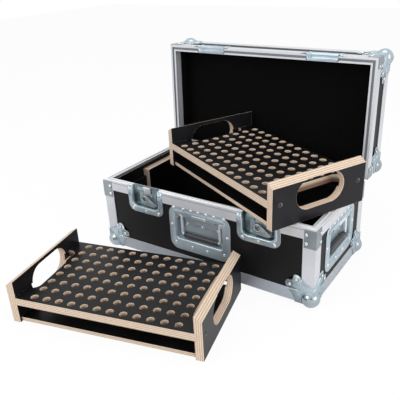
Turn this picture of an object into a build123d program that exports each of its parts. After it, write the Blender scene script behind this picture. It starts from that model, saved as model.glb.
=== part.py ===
from build123d import *
import math
import os

# A flight case for truss spigots: plywood box with aluminium edges, a hinged lid,
# and two lift-out trays. Millimetres, +Z up, front towards -Y.
# The origin is the centre of the underside of the bottom panel.

# case body
case_length = 600.0
case_depth = 300.0
base_height = 190.0
lid_height = 97.0
panel_t = 9.0
angle_t = 2.0
angle_leg = 30.0
seat_gap = 0.3
running_gap = 0.4

# edge profiles at the joint between base and lid
rim_width = 17.0
rim_skirt = 27.0
base_web = 4.0
base_inner_leg = 8.0
lid_web = 6.0
lid_inner_leg = 25.0
profile_t = 2.0
tongue_in = 7.0
tongue_w = 3.0
tongue_h = 2.5
groove_outer_play = 0.7
groove_inner_play = 2.3
groove_depth = 3.2

# lid position and hinge
lid_open_angle = 92.0
hinge_behind = 7.0
hinge_below = 12.0
hinge_x = 180.0
hinge_width = 60.0
hinge_leaf_height = 36.0
hinge_leaf_t = 2.0
knuckle_r = 5.0
pin_r = 2.5
pin_head_r = 3.6
pin_head_t = 1.5
knuckle_play = 0.25
stop_reach = 9.0
stop_t = 3.0

# pressed steel corner parts
plate_t = 1.5
ball_r = 21.5
ball_inset = 11.0
ball_foot = 44.5
ball_shoulder_far = 54.0
ball_shoulder_near = 22.0
lobe_far = 57.5
lobe_near = 41.5
lobe_r = 11.5
brace_width = 27.0
brace_height = 44.0
brace_below = 3.0
brace_rivet_in = 22.0
brace_rivet_spacing = 21.5
brace_rivet_top = 12.0
lid_brace_height = 35.0
lid_brace_rivet_spacing = 15.0
rivet_r = 3.4
rivet_h = 1.6

# recessed latches
latch_x = 162.0
latch_width = 110.0
latch_base_drop = 70.0
latch_lid_rise = 33.0
latch_recess_width = 82.0
latch_recess_depth = 14.0
latch_floor_flange = 16.0
latch_corner_r = 20.0
dish_t = 1.2
latch_recess_r = 12.0
latch_rivet_in = 7.0
latch_rivet_side_drop = 10.0
latch_centre_drop = 35.0
carrier_width = 54.0
carrier_height = 34.0
carrier_t = 1.5
rail_w = 6.0
rail_h = 3.5
spindle_r = 5.0
cam_r = 9.0
cam_t = 2.5
key_length = 48.0
key_width = 15.0
key_t = 2.5
key_proud = 1.0
key_angle = -43.0
hook_width = 22.0
hook_t = 2.0
hook_length = 24.0
hook_nose = 4.4
hook_nose_t = 2.0
hook_slope = 20.0
hook_below_rim = 1.6
keeper_lip_w = 3.0
keeper_lip_t = 2.0
keeper_lip_up = 1.5

# sprung recessed handles
handle_width = 176.0
handle_height = 118.0
handle_top = 161.0
handle_corner_r = 24.0
handle_recess_width = 134.0
handle_recess_height = 69.0
handle_recess_drop = 18.0
handle_recess_depth = 16.0
handle_recess_r = 6.0
bail_rod_r = 3.5
bail_arm_x = 55.0
bail_end_gap = 2.0
bail_pivot_drop = 24.5
bail_length = 52.0
bail_inset = 8.0
bail_bend_r = 5.5
bail_tight_bend_r = 4.0
grip_r = 6.8
grip_length = 98.0
ear_t = 3.5
ear_height = 16.0
spring_r = 5.0
spring_gap = 0.8

# inner board on the left wall
side_board_t = 21.0
side_board_length = 140.0
side_board_height = 157.0
side_board_pocket = 8.0

# lift-out trays
tray_length = 454.0
tray_depth = 257.0
tray_height = 105.5
tray_end_t = 18.0
tray_bevel = 10.0
deck_t = 18.0
deck_top = 65.0
deck_let_in = 4.0
lower_board_t = 9.0
lower_board_up = 2.0
lower_board_setback = 6.0
hole_d = 17.0
hole_pitch_x = 31.0
hole_pitch_y = 32.0
hole_columns = 12
hole_rows = 8
grip_hole_width = 132.0
grip_hole_height = 70.0
grip_hole_up = 61.0
notch_width = 170.0
notch_depth = 24.0
notch_r = 20.0
screw_y = 108.0
screw_head_r = 4.75
screw_head_t = 3.0
screw_shank_r = 2.2
screw_length = 45.0

# where the trays lie
floor_tray_x = -69.0
floor_tray_in_front = 188.0
floor_tray_y = -case_depth / 2 - floor_tray_in_front
floor_tray_yaw = 13.6
upper_tray_x = 75.0
upper_tray_y = 10.7
upper_tray_yaw = -25.8

# foam lining of the lid
foam_t = 25.0
foam_seam_x = -130.0

# derived places
half_l = case_length / 2
half_d = case_depth / 2
wall_x = half_l - angle_t
wall_y = half_d - angle_t
inner_x = wall_x - panel_t
inner_y = wall_y - panel_t
rim_z = base_height - angle_t
lid_rim_z = rim_z + running_gap
lid_top_z = lid_rim_z + lid_height
ball_drop = ball_r - ball_inset
floor_z = -angle_t - ball_drop
hinge_y = half_d + hinge_behind
hinge_z = rim_z - hinge_below
face_y = -wall_y - plate_t


def block(x0, x1, y0, y1, z0, z1):
    return Pos((x0 + x1) / 2, (y0 + y1) / 2, (z0 + z1) / 2) * Box(abs(x1 - x0), abs(y1 - y0), abs(z1 - z0))


def rod(radius, start, end):
    axis = Vector(*end) - Vector(*start)
    plane = Plane(origin=start, z_dir=axis)
    return plane * Cylinder(radius, axis.length, align=(Align.CENTER, Align.CENTER, Align.MIN))


def plate_xz(outline, y_outer, thickness):
    """A flat plate seen from the front, from y_outer inwards."""
    plane = Plane(origin=(0, y_outer, 0), x_dir=(1, 0, 0), z_dir=(0, -1, 0))
    return extrude(plane * outline, amount=-thickness)


def four_quadrants(shape):
    """The shape and its mirror images in the YZ and XZ planes."""
    pair = [shape, mirror(shape, about=Plane.YZ)]
    return pair + [mirror(s, about=Plane.XZ) for s in pair]


def solids_of(shapes):
    found = []
    for shape in shapes:
        found.extend(shape.solids())
    return found


def group(shapes):
    return Compound(children=solids_of(shapes))


def single(shape):
    return shape.solids()[0]


def lid_pose(shape):
    """Swing a piece drawn on the closed lid back to the open rest position."""
    axis = Axis((0, hinge_y, hinge_z), (1, 0, 0))
    return shape.rotate(axis, -lid_open_angle)


def mitre_prism(side, z0, z1):
    """The wedge of plan area that belongs to one side of the mitred frame."""
    run = half_l - half_d
    corners = {
        "front": [(-half_l, -half_d), (half_l, -half_d), (run, 0), (-run, 0)],
        "right": [(half_l, -half_d), (half_l, half_d), (run, 0)],
        "back": [(half_l, half_d), (-half_l, half_d), (-run, 0), (run, 0)],
        "left": [(-half_l, half_d), (-half_l, -half_d), (-run, 0)],
    }[side]
    outline = make_face(Polyline(corners, close=True))
    return extrude(Pos(0, 0, z0) * outline, amount=z1 - z0)


def side_strip(side, d0, d1, z0, z1):
    """A strip along one side of the case, d0 to d1 inwards from the outer faces."""
    if side == "front":
        return block(-half_l, half_l, -half_d + d0, -half_d + d1, z0, z1)
    if side == "back":
        return block(-half_l, half_l, half_d - d1, half_d - d0, z0, z1)
    if side == "right":
        return block(half_l - d1, half_l - d0, -half_d, half_d, z0, z1)
    return block(-half_l + d0, -half_l + d1, -half_d, half_d, z0, z1)


def mitred_side(side, strips):
    """One mitred length of profile, its section given as strips (d0, d1, z0, z1)."""
    bar = side_strip(side, *strips[0])
    for strip in strips[1:]:
        bar += side_strip(side, *strip)
    z_low = min(strip[2] for strip in strips)
    z_high = max(strip[3] for strip in strips)
    return bar & mitre_prism(side, z_low, z_high)


sides = ["front", "right", "back", "left"]


# plywood walls

def latch_window(z0, z1):
    """Hole in the front wall behind a latch recess."""
    half = latch_recess_width / 2 + dish_t
    return [block(x - half, x + half, -half_d, -inner_y, z0, z1) for x in (-latch_x, latch_x)]


def handle_outline(width, height, radius):
    centre = handle_top - handle_height / 2
    return Pos(0, centre) * RectangleRounded(width, height, radius)


def handle_recess_outline(extra):
    centre = handle_top - handle_recess_drop - handle_recess_height / 2
    size_x = handle_recess_width + 2 * extra
    size_z = handle_recess_height + 2 * extra
    return Pos(0, centre) * RectangleRounded(size_x, size_z, handle_recess_r + extra)


def handle_window():
    return plate_xz(handle_recess_outline(dish_t), -half_d, panel_t + angle_t)


def on_right(shape):
    """Move a piece drawn for the front face onto the right end."""
    return Pos(half_l - half_d, 0, 0) * shape.rotate(Axis.Z, 90)


def on_left(shape):
    return Pos(half_d - half_l, 0, 0) * shape.rotate(Axis.Z, -90)


def base_panels():
    wall_top = rim_z - base_web
    recess_low = rim_z - latch_base_drop + latch_floor_flange - dish_t
    front = block(-wall_x, wall_x, -wall_y, -inner_y, 0, wall_top)
    for window in latch_window(recess_low, wall_top):
        front -= window
    front -= handle_window()
    back = block(-wall_x, wall_x, inner_y, wall_y, 0, wall_top)
    right = block(inner_x, wall_x, -inner_y, inner_y, 0, wall_top) - on_right(handle_window())
    left = block(-wall_x, -inner_x, -inner_y, inner_y, 0, wall_top) - on_left(handle_window())
    bottom = block(-inner_x, inner_x, -inner_y, inner_y, 0, panel_t)
    board = block(-inner_x, -inner_x + side_board_t, inner_y - side_board_length, inner_y,
                  panel_t, panel_t + side_board_height)
    pocket_y = handle_recess_width / 2 + dish_t + 1
    pocket_top = handle_top - handle_recess_drop + dish_t + 1
    pocket_low = pocket_top - handle_recess_height - 2 * dish_t - 2
    board -= block(-inner_x, -inner_x + side_board_pocket, -pocket_y, pocket_y, pocket_low, pocket_top)
    return {
        "base_front_panel": front,
        "base_back_panel": back,
        "base_left_panel": left,
        "base_right_panel": right,
        "base_bottom_panel": bottom,
        "inner_side_board": board,
    }


def lid_panels():
    wall_low = lid_rim_z + lid_web
    top_z = lid_top_z - angle_t
    recess_high = lid_rim_z + latch_lid_rise - latch_floor_flange + dish_t
    front = block(-wall_x, wall_x, -wall_y, -inner_y, wall_low, top_z)
    for window in latch_window(wall_low, recess_high):
        front -= window
    return {
        "lid_front_panel": front,
        "lid_back_panel": block(-wall_x, wall_x, inner_y, wall_y, wall_low, top_z),
        "lid_left_panel": block(-wall_x, -inner_x, -inner_y, inner_y, wall_low, top_z),
        "lid_right_panel": block(inner_x, wall_x, -inner_y, inner_y, wall_low, top_z),
        "lid_top_panel": block(-inner_x, inner_x, -inner_y, inner_y, top_z - panel_t, top_z),
    }


def lid_foam():
    low = lid_top_z - angle_t - panel_t - foam_t
    pieces = [
        block(-inner_x, foam_seam_x, -inner_y, inner_y, low, low + foam_t),
        block(foam_seam_x, inner_x, -inner_y, inner_y, low, low + foam_t),
    ]
    return group(pieces)


# aluminium edges

def rim_notches(z_web_0, z_web_1, z_skirt):
    """Cuts that let the latch dishes into a rim profile."""
    cuts = []
    depth = angle_t + latch_recess_depth - plate_t + dish_t + 0.1
    for x in (-latch_x, latch_x):
        half_flange = latch_width / 2
        half_recess = latch_recess_width / 2 + dish_t
        cuts.append(block(x - half_flange, x + half_flange, -half_d, -wall_y, *z_skirt))
        cuts.append(block(x - half_recess, x + half_recess, -half_d, -half_d + depth, z_web_0, z_web_1))
    return cuts


def base_rim():
    skirt = (0, profile_t, rim_z - rim_skirt, rim_z)
    web = (0, rim_width, rim_z - base_web, rim_z)
    inner = (profile_t + panel_t, rim_width, rim_z - base_inner_leg, rim_z)
    tongue = (tongue_in, tongue_in + tongue_w, rim_z, rim_z + tongue_h)
    bars = [mitred_side(side, [skirt, web, inner, tongue]) for side in sides]
    for cut in rim_notches(rim_z - base_inner_leg, rim_z + tongue_h, (rim_z - rim_skirt, rim_z)):
        bars[0] -= cut
    return group(bars)


def lid_rim():
    skirt = (0, profile_t, lid_rim_z, lid_rim_z + rim_skirt)
    web = (0, rim_width, lid_rim_z, lid_rim_z + lid_web)
    inner = (rim_width - profile_t, rim_width, lid_rim_z, lid_rim_z + lid_inner_leg)
    foot = (profile_t + panel_t, rim_width, lid_rim_z + lid_inner_leg - profile_t, lid_rim_z + lid_inner_leg)
    bars = [mitred_side(side, [skirt, web, inner, foot]) for side in sides]
    d0 = tongue_in - groove_outer_play
    d1 = tongue_in + tongue_w + groove_inner_play
    grooved = [bar - side_strip(side, d0, d1, lid_rim_z, lid_rim_z + groove_depth)
               for side, bar in zip(sides, bars)]
    notch_top = lid_rim_z + latch_lid_rise - latch_floor_flange + dish_t + 0.1
    for cut in rim_notches(lid_rim_z, notch_top, (lid_rim_z, lid_rim_z + rim_skirt)):
        grooved[0] -= cut
    return group(grooved)


def horizontal_angles(z_face, inward):
    """Four mitred angles round the foot (inward=1) or round the lid's top (inward=-1)."""
    z_flat = sorted([z_face, z_face + inward * angle_t])
    z_leg = sorted([z_face, z_face + inward * angle_leg])
    flat = (0, angle_leg, *z_flat)
    leg = (0, angle_t, *z_leg)
    return group([mitred_side(side, [flat, leg]) for side in sides])


def corner_angles(z0, z1):
    """Four upright angles between the horizontal ones and the rim profile."""
    flat = block(half_l - angle_leg, half_l, half_d - angle_t, half_d, z0, z1)
    leg = block(half_l - angle_t, half_l, half_d - angle_leg, half_d, z0, z1)
    return group(four_quadrants(flat + leg))


# pressed corners and their rivets

def rivet(centre, normal):
    """A domed rivet head on a plate."""
    plane = Plane(origin=centre, z_dir=normal)
    head = Cylinder(rivet_r, rivet_h, align=(Align.CENTER, Align.CENTER, Align.MIN))
    head = chamfer(head.edges().sort_by(Axis.Z)[-1], rivet_h * 0.55)
    return plane * head


def ball_flange():
    outline = [
        (-plate_t, -plate_t), (ball_foot, -plate_t), (ball_foot, 0), (ball_shoulder_far, ball_shoulder_near),
        (lobe_far, lobe_near), (lobe_near, lobe_far),
        (ball_shoulder_near, ball_shoulder_far), (0, ball_foot), (-plate_t, ball_foot),
    ]
    web = [(ball_shoulder_far, ball_shoulder_near), (lobe_far + lobe_r * 0.82, lobe_near - lobe_r * 0.57),
           (lobe_far, lobe_near)]
    face = make_face(Polyline(outline, close=True))
    face += make_face(Polyline(web, close=True))
    face += make_face(Polyline([(b, a) for a, b in web], close=True))
    for u, v in ((lobe_far, lobe_near), (lobe_near, lobe_far)):
        face += Pos(u, v) * Circle(lobe_r)
    return face


def ball_corner():
    """The corner at +X, -Y at the foot: a round ball with three flanges."""
    outline = ball_flange()
    corner = (half_l, -half_d, -angle_t)
    front = extrude(Plane(origin=corner, x_dir=(-1, 0, 0), z_dir=(0, 1, 0)) * outline, amount=-plate_t)
    side = extrude(Plane(origin=corner, x_dir=(0, 1, 0), z_dir=(1, 0, 0)) * outline, amount=plate_t)
    under = extrude(Plane(origin=corner, x_dir=(-1, 0, 0), z_dir=(0, 0, 1)) * mirror(outline, about=Plane.XZ),
                    amount=-plate_t)
    ball = Pos(half_l - ball_inset, -half_d + ball_inset, -angle_t + ball_inset) * Sphere(ball_r)
    body = block(0, half_l, -half_d, 0, -angle_t, base_height)
    return single((front + side + under + ball) - body)


def ball_rivets():
    spots = []
    for u, v in ((lobe_far, lobe_near), (lobe_near, lobe_far)):
        x, y, z = half_l - u, -half_d + v, -angle_t + v
        spots.append(rivet((x, -half_d - plate_t, z), (0, -1, 0)))
        spots.append(rivet((half_l + plate_t, -half_d + u, z), (1, 0, 0)))
        spots.append(rivet((x, y, -angle_t - plate_t), (0, 0, -1)))
    return spots


def brace(height):
    """The plate that wraps the end of the rim profile, at +X, -Y."""
    z1 = rim_z - brace_below
    z0 = z1 - height
    front = block(half_l - brace_width, half_l + plate_t, -half_d - plate_t, -half_d, z0, z1)
    side = block(half_l, half_l + plate_t, -half_d - plate_t, -half_d + brace_width, z0, z1)
    return single(front + side)


def brace_rivets(spacing):
    spots = []
    for k in range(2):
        z = rim_z - brace_below - brace_rivet_top - k * spacing
        spots.append(rivet((half_l - brace_rivet_in, -half_d - plate_t, z), (0, -1, 0)))
        spots.append(rivet((half_l + plate_t, -half_d + brace_rivet_in, z), (1, 0, 0)))
    return spots


def to_lid_top(shape):
    """Turn a foot piece over onto the top of the closed lid."""
    middle = (lid_top_z - angle_t) / 2
    return mirror(shape, about=Plane(origin=(0, 0, middle), z_dir=(0, 0, 1)))


def to_lid_rim(shape):
    """Turn a base rim piece over onto the rim of the closed lid."""
    middle = (rim_z + lid_rim_z) / 2
    return mirror(shape, about=Plane(origin=(0, 0, middle), z_dir=(0, 0, 1)))


def in_quadrants(shapes):
    found = []
    for shape in shapes:
        found.extend(four_quadrants(shape))
    return found


# latches, drawn at x = 0 and moved to each place

def dish_shell(z_joint, z_end, opens_up):
    """Half of a latch dish: flange plate, walls and floor, open at the joint."""
    height = abs(z_joint - z_end)
    centre = (z_joint + z_end) / 2
    grow = latch_corner_r if opens_up else -latch_corner_r
    outline = Pos(0, centre + grow / 2) * RectangleRounded(latch_width, height + latch_corner_r, latch_corner_r)
    keep_low, keep_high = min(z_joint, z_end), max(z_joint, z_end)
    keep = block(-latch_width, latch_width, -half_d - latch_width, half_d, keep_low, keep_high)
    flange = plate_xz(outline, face_y, plate_t) & keep
    recess_height = height - latch_floor_flange
    recess_end = z_joint - recess_height if opens_up else z_joint + recess_height
    recess_centre = (z_joint + recess_end) / 2

    def recess(extra):
        size_x = latch_recess_width + 2 * extra
        size_z = recess_height + extra + latch_recess_r
        shift = (latch_recess_r - extra) / 2
        place = recess_centre + (shift if opens_up else -shift)
        return Pos(0, place) * RectangleRounded(size_x, size_z, latch_recess_r + extra - dish_t / 2)

    depth = latch_recess_depth
    outer = plate_xz(recess(dish_t), face_y, depth + dish_t) & keep
    inner = plate_xz(recess(0), face_y, depth)
    return single((flange + outer) - inner)


def latch_rivets_at(z_joint, z_end, step):
    """Rivets round a latch flange; step is the way from the end towards the joint."""
    spots = []
    z_low = z_end + step * latch_floor_flange / 2
    for x in (-latch_width / 2 + 2 * latch_rivet_in, 0, latch_width / 2 - 2 * latch_rivet_in):
        spots.append(rivet((x, face_y, z_low), (0, -1, 0)))
    for sign in (-1, 1):
        x = sign * (latch_width / 2 - latch_rivet_in)
        spots.append(rivet((x, face_y, z_joint - step * latch_rivet_side_drop), (0, -1, 0)))
    return spots


recess_floor_y = face_y + latch_recess_depth
spindle_z = rim_z - latch_centre_drop
rail_x = hook_width / 2 + running_gap


def latch_carrier():
    """Plate on the dish floor that carries the spindle and guides the hook."""
    z0 = spindle_z - carrier_height / 2
    z1 = spindle_z + carrier_height / 2
    plate = block(-carrier_width / 2, carrier_width / 2, recess_floor_y - carrier_t, recess_floor_y, z0, z1)
    plate -= rod(spindle_r + running_gap, (0, recess_floor_y - 2 * carrier_t, spindle_z),
                 (0, recess_floor_y + carrier_t, spindle_z))
    rail_y = recess_floor_y - carrier_t
    for sign in (-1, 1):
        x0 = sign * rail_x
        plate += block(x0, x0 + sign * rail_w, rail_y - rail_h, rail_y, spindle_z + cam_r, z1)
    return single(plate)


def latch_key():
    """Folding wing key with its spindle and cam disc."""
    y_back = recess_floor_y - running_gap
    y_cam = recess_floor_y - carrier_t - running_gap
    y_wing = face_y + key_proud
    spindle = rod(spindle_r, (0, y_back, spindle_z), (0, y_wing, spindle_z))
    cam = rod(cam_r, (0, y_cam, spindle_z), (0, y_cam - cam_t, spindle_z))
    wings = SlotOverall(key_length, key_width)
    wing_plate = plate_xz(Pos(0, spindle_z) * Rot(0, 0, key_angle) * wings, y_wing, key_t)
    return single(spindle + cam + wing_plate)


def latch_hook():
    """Flat hook above the cam; its nose passes over the keeper lip."""
    z1 = rim_z - hook_below_rim
    y0 = recess_floor_y - carrier_t - seat_gap
    plate = block(-hook_width / 2, hook_width / 2, y0 - hook_t, y0, z1 - hook_length, z1)
    nose = block(-hook_width / 2, hook_width / 2, y0 - hook_t - hook_nose, y0, z1 - hook_nose_t, z1)
    return single(plate + nose)


def latch_dish():
    return dish_shell(rim_z, rim_z - latch_base_drop, True)


def keeper():
    """Upper half of a latch dish, on the lid, with the lip that the hook catches."""
    shell = dish_shell(lid_rim_z, lid_rim_z + latch_lid_rise, False)
    half = latch_recess_width / 2
    z0 = lid_rim_z + keeper_lip_up
    lip = block(-half, half, face_y, face_y + keeper_lip_w, z0, z0 + keeper_lip_t)
    return single(shell + lip)


# sprung handles, drawn for the front face

handle_floor_y = face_y + handle_recess_depth
pivot_z = handle_top - bail_pivot_drop
pivot_y = face_y + bail_inset
handle_wall_x = handle_recess_width / 2


def handle_dish():
    flange = plate_xz(handle_outline(handle_width, handle_height, handle_corner_r), face_y, plate_t)
    outer = plate_xz(handle_recess_outline(dish_t), face_y, handle_recess_depth + dish_t)
    inner = plate_xz(handle_recess_outline(0), face_y, handle_recess_depth)
    return single((flange + outer) - inner)


def handle_ears():
    """Two ears in the upper corners of the dish that carry the bail's ends."""
    ears = []
    room = plate_xz(handle_recess_outline(0), face_y, handle_recess_depth)
    for sign in (-1, 1):
        x_out = sign * handle_wall_x
        x_in = x_out - sign * ear_t
        ear = block(x_out, x_in, face_y + plate_t, handle_floor_y, pivot_z - ear_height / 2,
                    pivot_z + ear_height / 2)
        ear -= rod(bail_rod_r + knuckle_play, (x_out + sign, pivot_y, pivot_z),
                   (x_in - sign, pivot_y, pivot_z))
        ears.append(ear & room)
    return ears


def bail_ends():
    """Rod pieces of the bail from one ear to the other, as straight runs with round bends."""
    z_low = pivot_z - bail_length
    x_end = handle_wall_x - bail_end_gap
    return [
        (-x_end, pivot_y, pivot_z), (-bail_arm_x, pivot_y, pivot_z), (-bail_arm_x, pivot_y, z_low),
        (bail_arm_x, pivot_y, z_low), (bail_arm_x, pivot_y, pivot_z), (x_end, pivot_y, pivot_z),
    ]


def handle_bail():
    points = bail_ends()
    bends = [bail_tight_bend_r, bail_bend_r, bail_bend_r, bail_tight_bend_r]
    path = FilletPolyline(*points, radius=bends)
    start = Plane(origin=points[0], z_dir=(1, 0, 0))
    return single(sweep(start * Circle(bail_rod_r), path=path))


def handle_grip():
    z_low = pivot_z - bail_length
    half = grip_length / 2
    sleeve = rod(grip_r, (-half, pivot_y, z_low), (half, pivot_y, z_low))
    sleeve = fillet(sleeve.edges().filter_by(GeomType.CIRCLE), grip_r / 4)
    return single(sleeve - rod(bail_rod_r, (-half - 1, pivot_y, z_low), (half + 1, pivot_y, z_low)))


def handle_springs():
    """Wound return springs, one round each end of the bail."""
    rings = []
    for sign in (-1, 1):
        x0 = sign * (handle_wall_x - ear_t - seat_gap)
        x1 = sign * (bail_arm_x + bail_rod_r + spring_gap)
        ring = rod(spring_r, (x0, pivot_y, pivot_z), (x1, pivot_y, pivot_z))
        rings.append(ring - rod(bail_rod_r + seat_gap, (x0 + sign, pivot_y, pivot_z),
                                (x1 - sign, pivot_y, pivot_z)))
    return rings


def handle_rivets():
    spots = []
    half = handle_width / 2
    top_z = handle_top - 4
    low_z = handle_top - handle_height + 15
    flat = [(-44, top_z), (-22, top_z), (0, top_z), (22, top_z), (44, top_z),
            (-72, top_z), (72, top_z), (-half + 8, handle_top - 52), (half - 8, handle_top - 52),
            (-71, low_z + 3), (71, low_z + 3), (-22, low_z - 1), (22, low_z - 1)]
    for x, z in flat:
        spots.append(rivet((x, face_y, z), (0, -1, 0)))
    for x in (-44, 0, 44):
        spots.append(rivet((x, handle_floor_y, handle_top - 33), (0, -1, 0)))
    return spots


# hinges at the back

def knuckle(x0, x1):
    return rod(knuckle_r, (x0, hinge_y, hinge_z), (x1, hinge_y, hinge_z))


def knuckle_spans(centre):
    """Two outer spans for the base leaf and the middle span for the lid leaf."""
    third = hinge_width / 3
    left = centre - hinge_width / 2
    return [(left, left + third - running_gap / 2), (left + 2 * third + running_gap / 2, left + hinge_width)], \
        (left + third + running_gap / 2, left + 2 * third - running_gap / 2)


def pin_hole(centre, play):
    reach = hinge_width / 2 + 1
    return rod(pin_r + play, (centre - reach, hinge_y, hinge_z), (centre + reach, hinge_y, hinge_z))


def base_leaf(centre):
    outer, middle = knuckle_spans(centre)
    z0 = hinge_z - hinge_leaf_height
    leaf = block(centre - hinge_width / 2, centre + hinge_width / 2, half_d, half_d + hinge_leaf_t, z0, hinge_z)
    room = knuckle_r + running_gap
    leaf -= block(middle[0] - running_gap, middle[1] + running_gap, half_d, hinge_y,
                  hinge_z - room, hinge_z + room)
    for x0, x1 in outer:
        leaf += knuckle(x0, x1)
        leaf += block(x0, x1, half_d, hinge_y - pin_r - 1, hinge_z - knuckle_r, hinge_z)
    return single(leaf - pin_hole(centre, 0))


def lid_leaf(centre):
    outer, middle = knuckle_spans(centre)
    z1 = hinge_z + hinge_below + running_gap + hinge_leaf_height
    y0, y1 = half_d, half_d + hinge_leaf_t
    leaf = block(centre - hinge_width / 2, centre + hinge_width / 2, y0, y1, lid_rim_z, z1)
    neck = block(middle[0], middle[1], y0 + running_gap, y1, hinge_z + pin_r + 1, lid_rim_z)
    neck += block(middle[0], middle[1], y0 + running_gap, hinge_y, hinge_z + pin_r + 1, hinge_z + knuckle_r)
    leaf = lid_pose(leaf + neck + knuckle(*middle)) + stop_tail(middle)
    return single(leaf - pin_hole(centre, knuckle_play))


def stop_tail(span):
    """Tail below the lid's knuckle that meets the base leaf when the lid is open."""
    y0 = half_d + hinge_leaf_t + seat_gap
    return block(span[0], span[1], y0, y0 + stop_t, hinge_z - stop_reach, hinge_z - pin_r)


def hinge_pin(centre):
    half = hinge_width / 2
    pin = rod(pin_r, (centre - half, hinge_y, hinge_z), (centre + half, hinge_y, hinge_z))
    for sign in (-1, 1):
        x0 = centre + sign * half
        pin += rod(pin_head_r, (x0, hinge_y, hinge_z), (x0 + sign * pin_head_t, hinge_y, hinge_z))
    return single(pin)


def leaf_rivets(centre, z):
    y = half_d + hinge_leaf_t
    return [rivet((centre + dx, y, z), (0, 1, 0)) for dx in (-hinge_width / 3, 0, hinge_width / 3)]


# trays

def tray_screw_places():
    z = deck_top - deck_t / 2
    return [(sign, y, z) for sign in (-1, 1) for y in (-screw_y, screw_y)]


def tray_screw(sign, y, z):
    x0 = sign * tray_length / 2
    head = rod(screw_head_r, (x0, y, z), (x0 - sign * screw_head_t, y, z))
    return single(head + rod(screw_shank_r, (x0, y, z), (x0 - sign * screw_length, y, z)))


def tray_end(sign):
    half = tray_length / 2
    profile = [(half, 0), (half, tray_height - tray_bevel), (half - tray_end_t, tray_height), (half - tray_end_t, 0)]
    plane = Plane(origin=(0, tray_depth / 2, 0), x_dir=(1, 0, 0), z_dir=(0, -1, 0))
    end = extrude(plane * make_face(Polyline(profile, close=True)), amount=tray_depth)
    inner = half - tray_end_t
    end -= block(inner, inner + deck_let_in, -tray_depth / 2, tray_depth / 2, deck_top - deck_t, deck_top)
    hole = Plane(origin=(half + 1, 0, grip_hole_up), x_dir=(0, 1, 0), z_dir=(1, 0, 0))
    end -= extrude(hole * SlotOverall(grip_hole_width, grip_hole_height), amount=-tray_end_t - 2)
    if sign < 0:
        end = mirror(end, about=Plane.YZ)
    for s, y, z in tray_screw_places():
        if s == sign:
            end -= tray_screw(s, y, z)
    return single(end)


def tray_deck():
    half = tray_length / 2 - tray_end_t + deck_let_in
    deck = block(-half, half, -tray_depth / 2, tray_depth / 2, deck_top - deck_t, deck_top)
    for sign in (-1, 1):
        edge = tray_length / 2 - tray_end_t - notch_depth
        notch = Pos(sign * (edge + notch_width / 2), 0, deck_top - deck_t / 2) * extrude(
            RectangleRounded(notch_width, notch_width, notch_r), amount=deck_t, both=True)
        deck -= notch
    holes = GridLocations(hole_pitch_x, hole_pitch_y, hole_columns, hole_rows)
    drill = Cylinder(hole_d / 2, deck_t * 2)
    deck -= [Pos(0, 0, deck_top - deck_t / 2) * place * drill for place in holes]
    for s, y, z in tray_screw_places():
        deck -= tray_screw(s, y, z)
    return single(deck)


def tray_lower_board():
    half = tray_length / 2 - tray_end_t
    side = tray_depth / 2 - lower_board_setback
    return block(-half, half, -side, side, lower_board_up, lower_board_up + lower_board_t)


def tray_pieces():
    return {
        "left_end": tray_end(-1),
        "right_end": tray_end(1),
        "deck": tray_deck(),
        "lower_board": tray_lower_board(),
        "screws": group([tray_screw(*place) for place in tray_screw_places()]),
    }


def floor_tray_place():
    return Pos(floor_tray_x, floor_tray_y, floor_z) * Rot(0, 0, floor_tray_yaw)


def upper_tray_place():
    """The tray rests on the base rim at its right end and on the lid's back rim at its left."""
    tilt_from_upright = math.radians(lid_open_angle - 90)
    back_reach = hinge_behind + rim_width
    joint_rise = lid_rim_z - hinge_z
    left_z = hinge_z + back_reach * math.cos(tilt_from_upright) - joint_rise * math.sin(tilt_from_upright)
    left_z += seat_gap
    right_z = rim_z + tongue_h
    half = tray_length / 2
    tilt = math.asin((left_z - right_z) / (2 * half - tray_end_t))
    centre_z = right_z + seat_gap + half * math.sin(tilt)
    place = Pos(upper_tray_x, upper_tray_y, centre_z) * Rot(0, 0, upper_tray_yaw)
    return place * Rot(0, math.degrees(tilt), 0)


# the whole case

def base_nodes():
    nodes = base_panels()
    nodes["base_rim"] = base_rim()
    nodes["base_bottom_angles"] = horizontal_angles(-angle_t, 1)
    nodes["base_corner_angles"] = corner_angles(angle_leg - angle_t, rim_z - rim_skirt)
    nodes["base_ball_corners"] = group(four_quadrants(ball_corner()))
    nodes["base_rim_braces"] = group(four_quadrants(brace(brace_height)))
    return nodes


def base_rivets():
    """Every rivet that stays on the base: corners, braces, latches, handles and hinges."""
    rivets = in_quadrants(ball_rivets() + brace_rivets(brace_rivet_spacing))
    for x in (-latch_x, latch_x):
        rivets += [Pos(x, 0, 0) * r for r in latch_rivets_at(rim_z, rim_z - latch_base_drop, 1)]
    for rivet_shape in handle_rivets():
        rivets += [rivet_shape, on_right(rivet_shape), on_left(rivet_shape)]
    for x in (-hinge_x, hinge_x):
        rivets += leaf_rivets(x, hinge_z - hinge_leaf_height * 0.6)
    return group(rivets)


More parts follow.
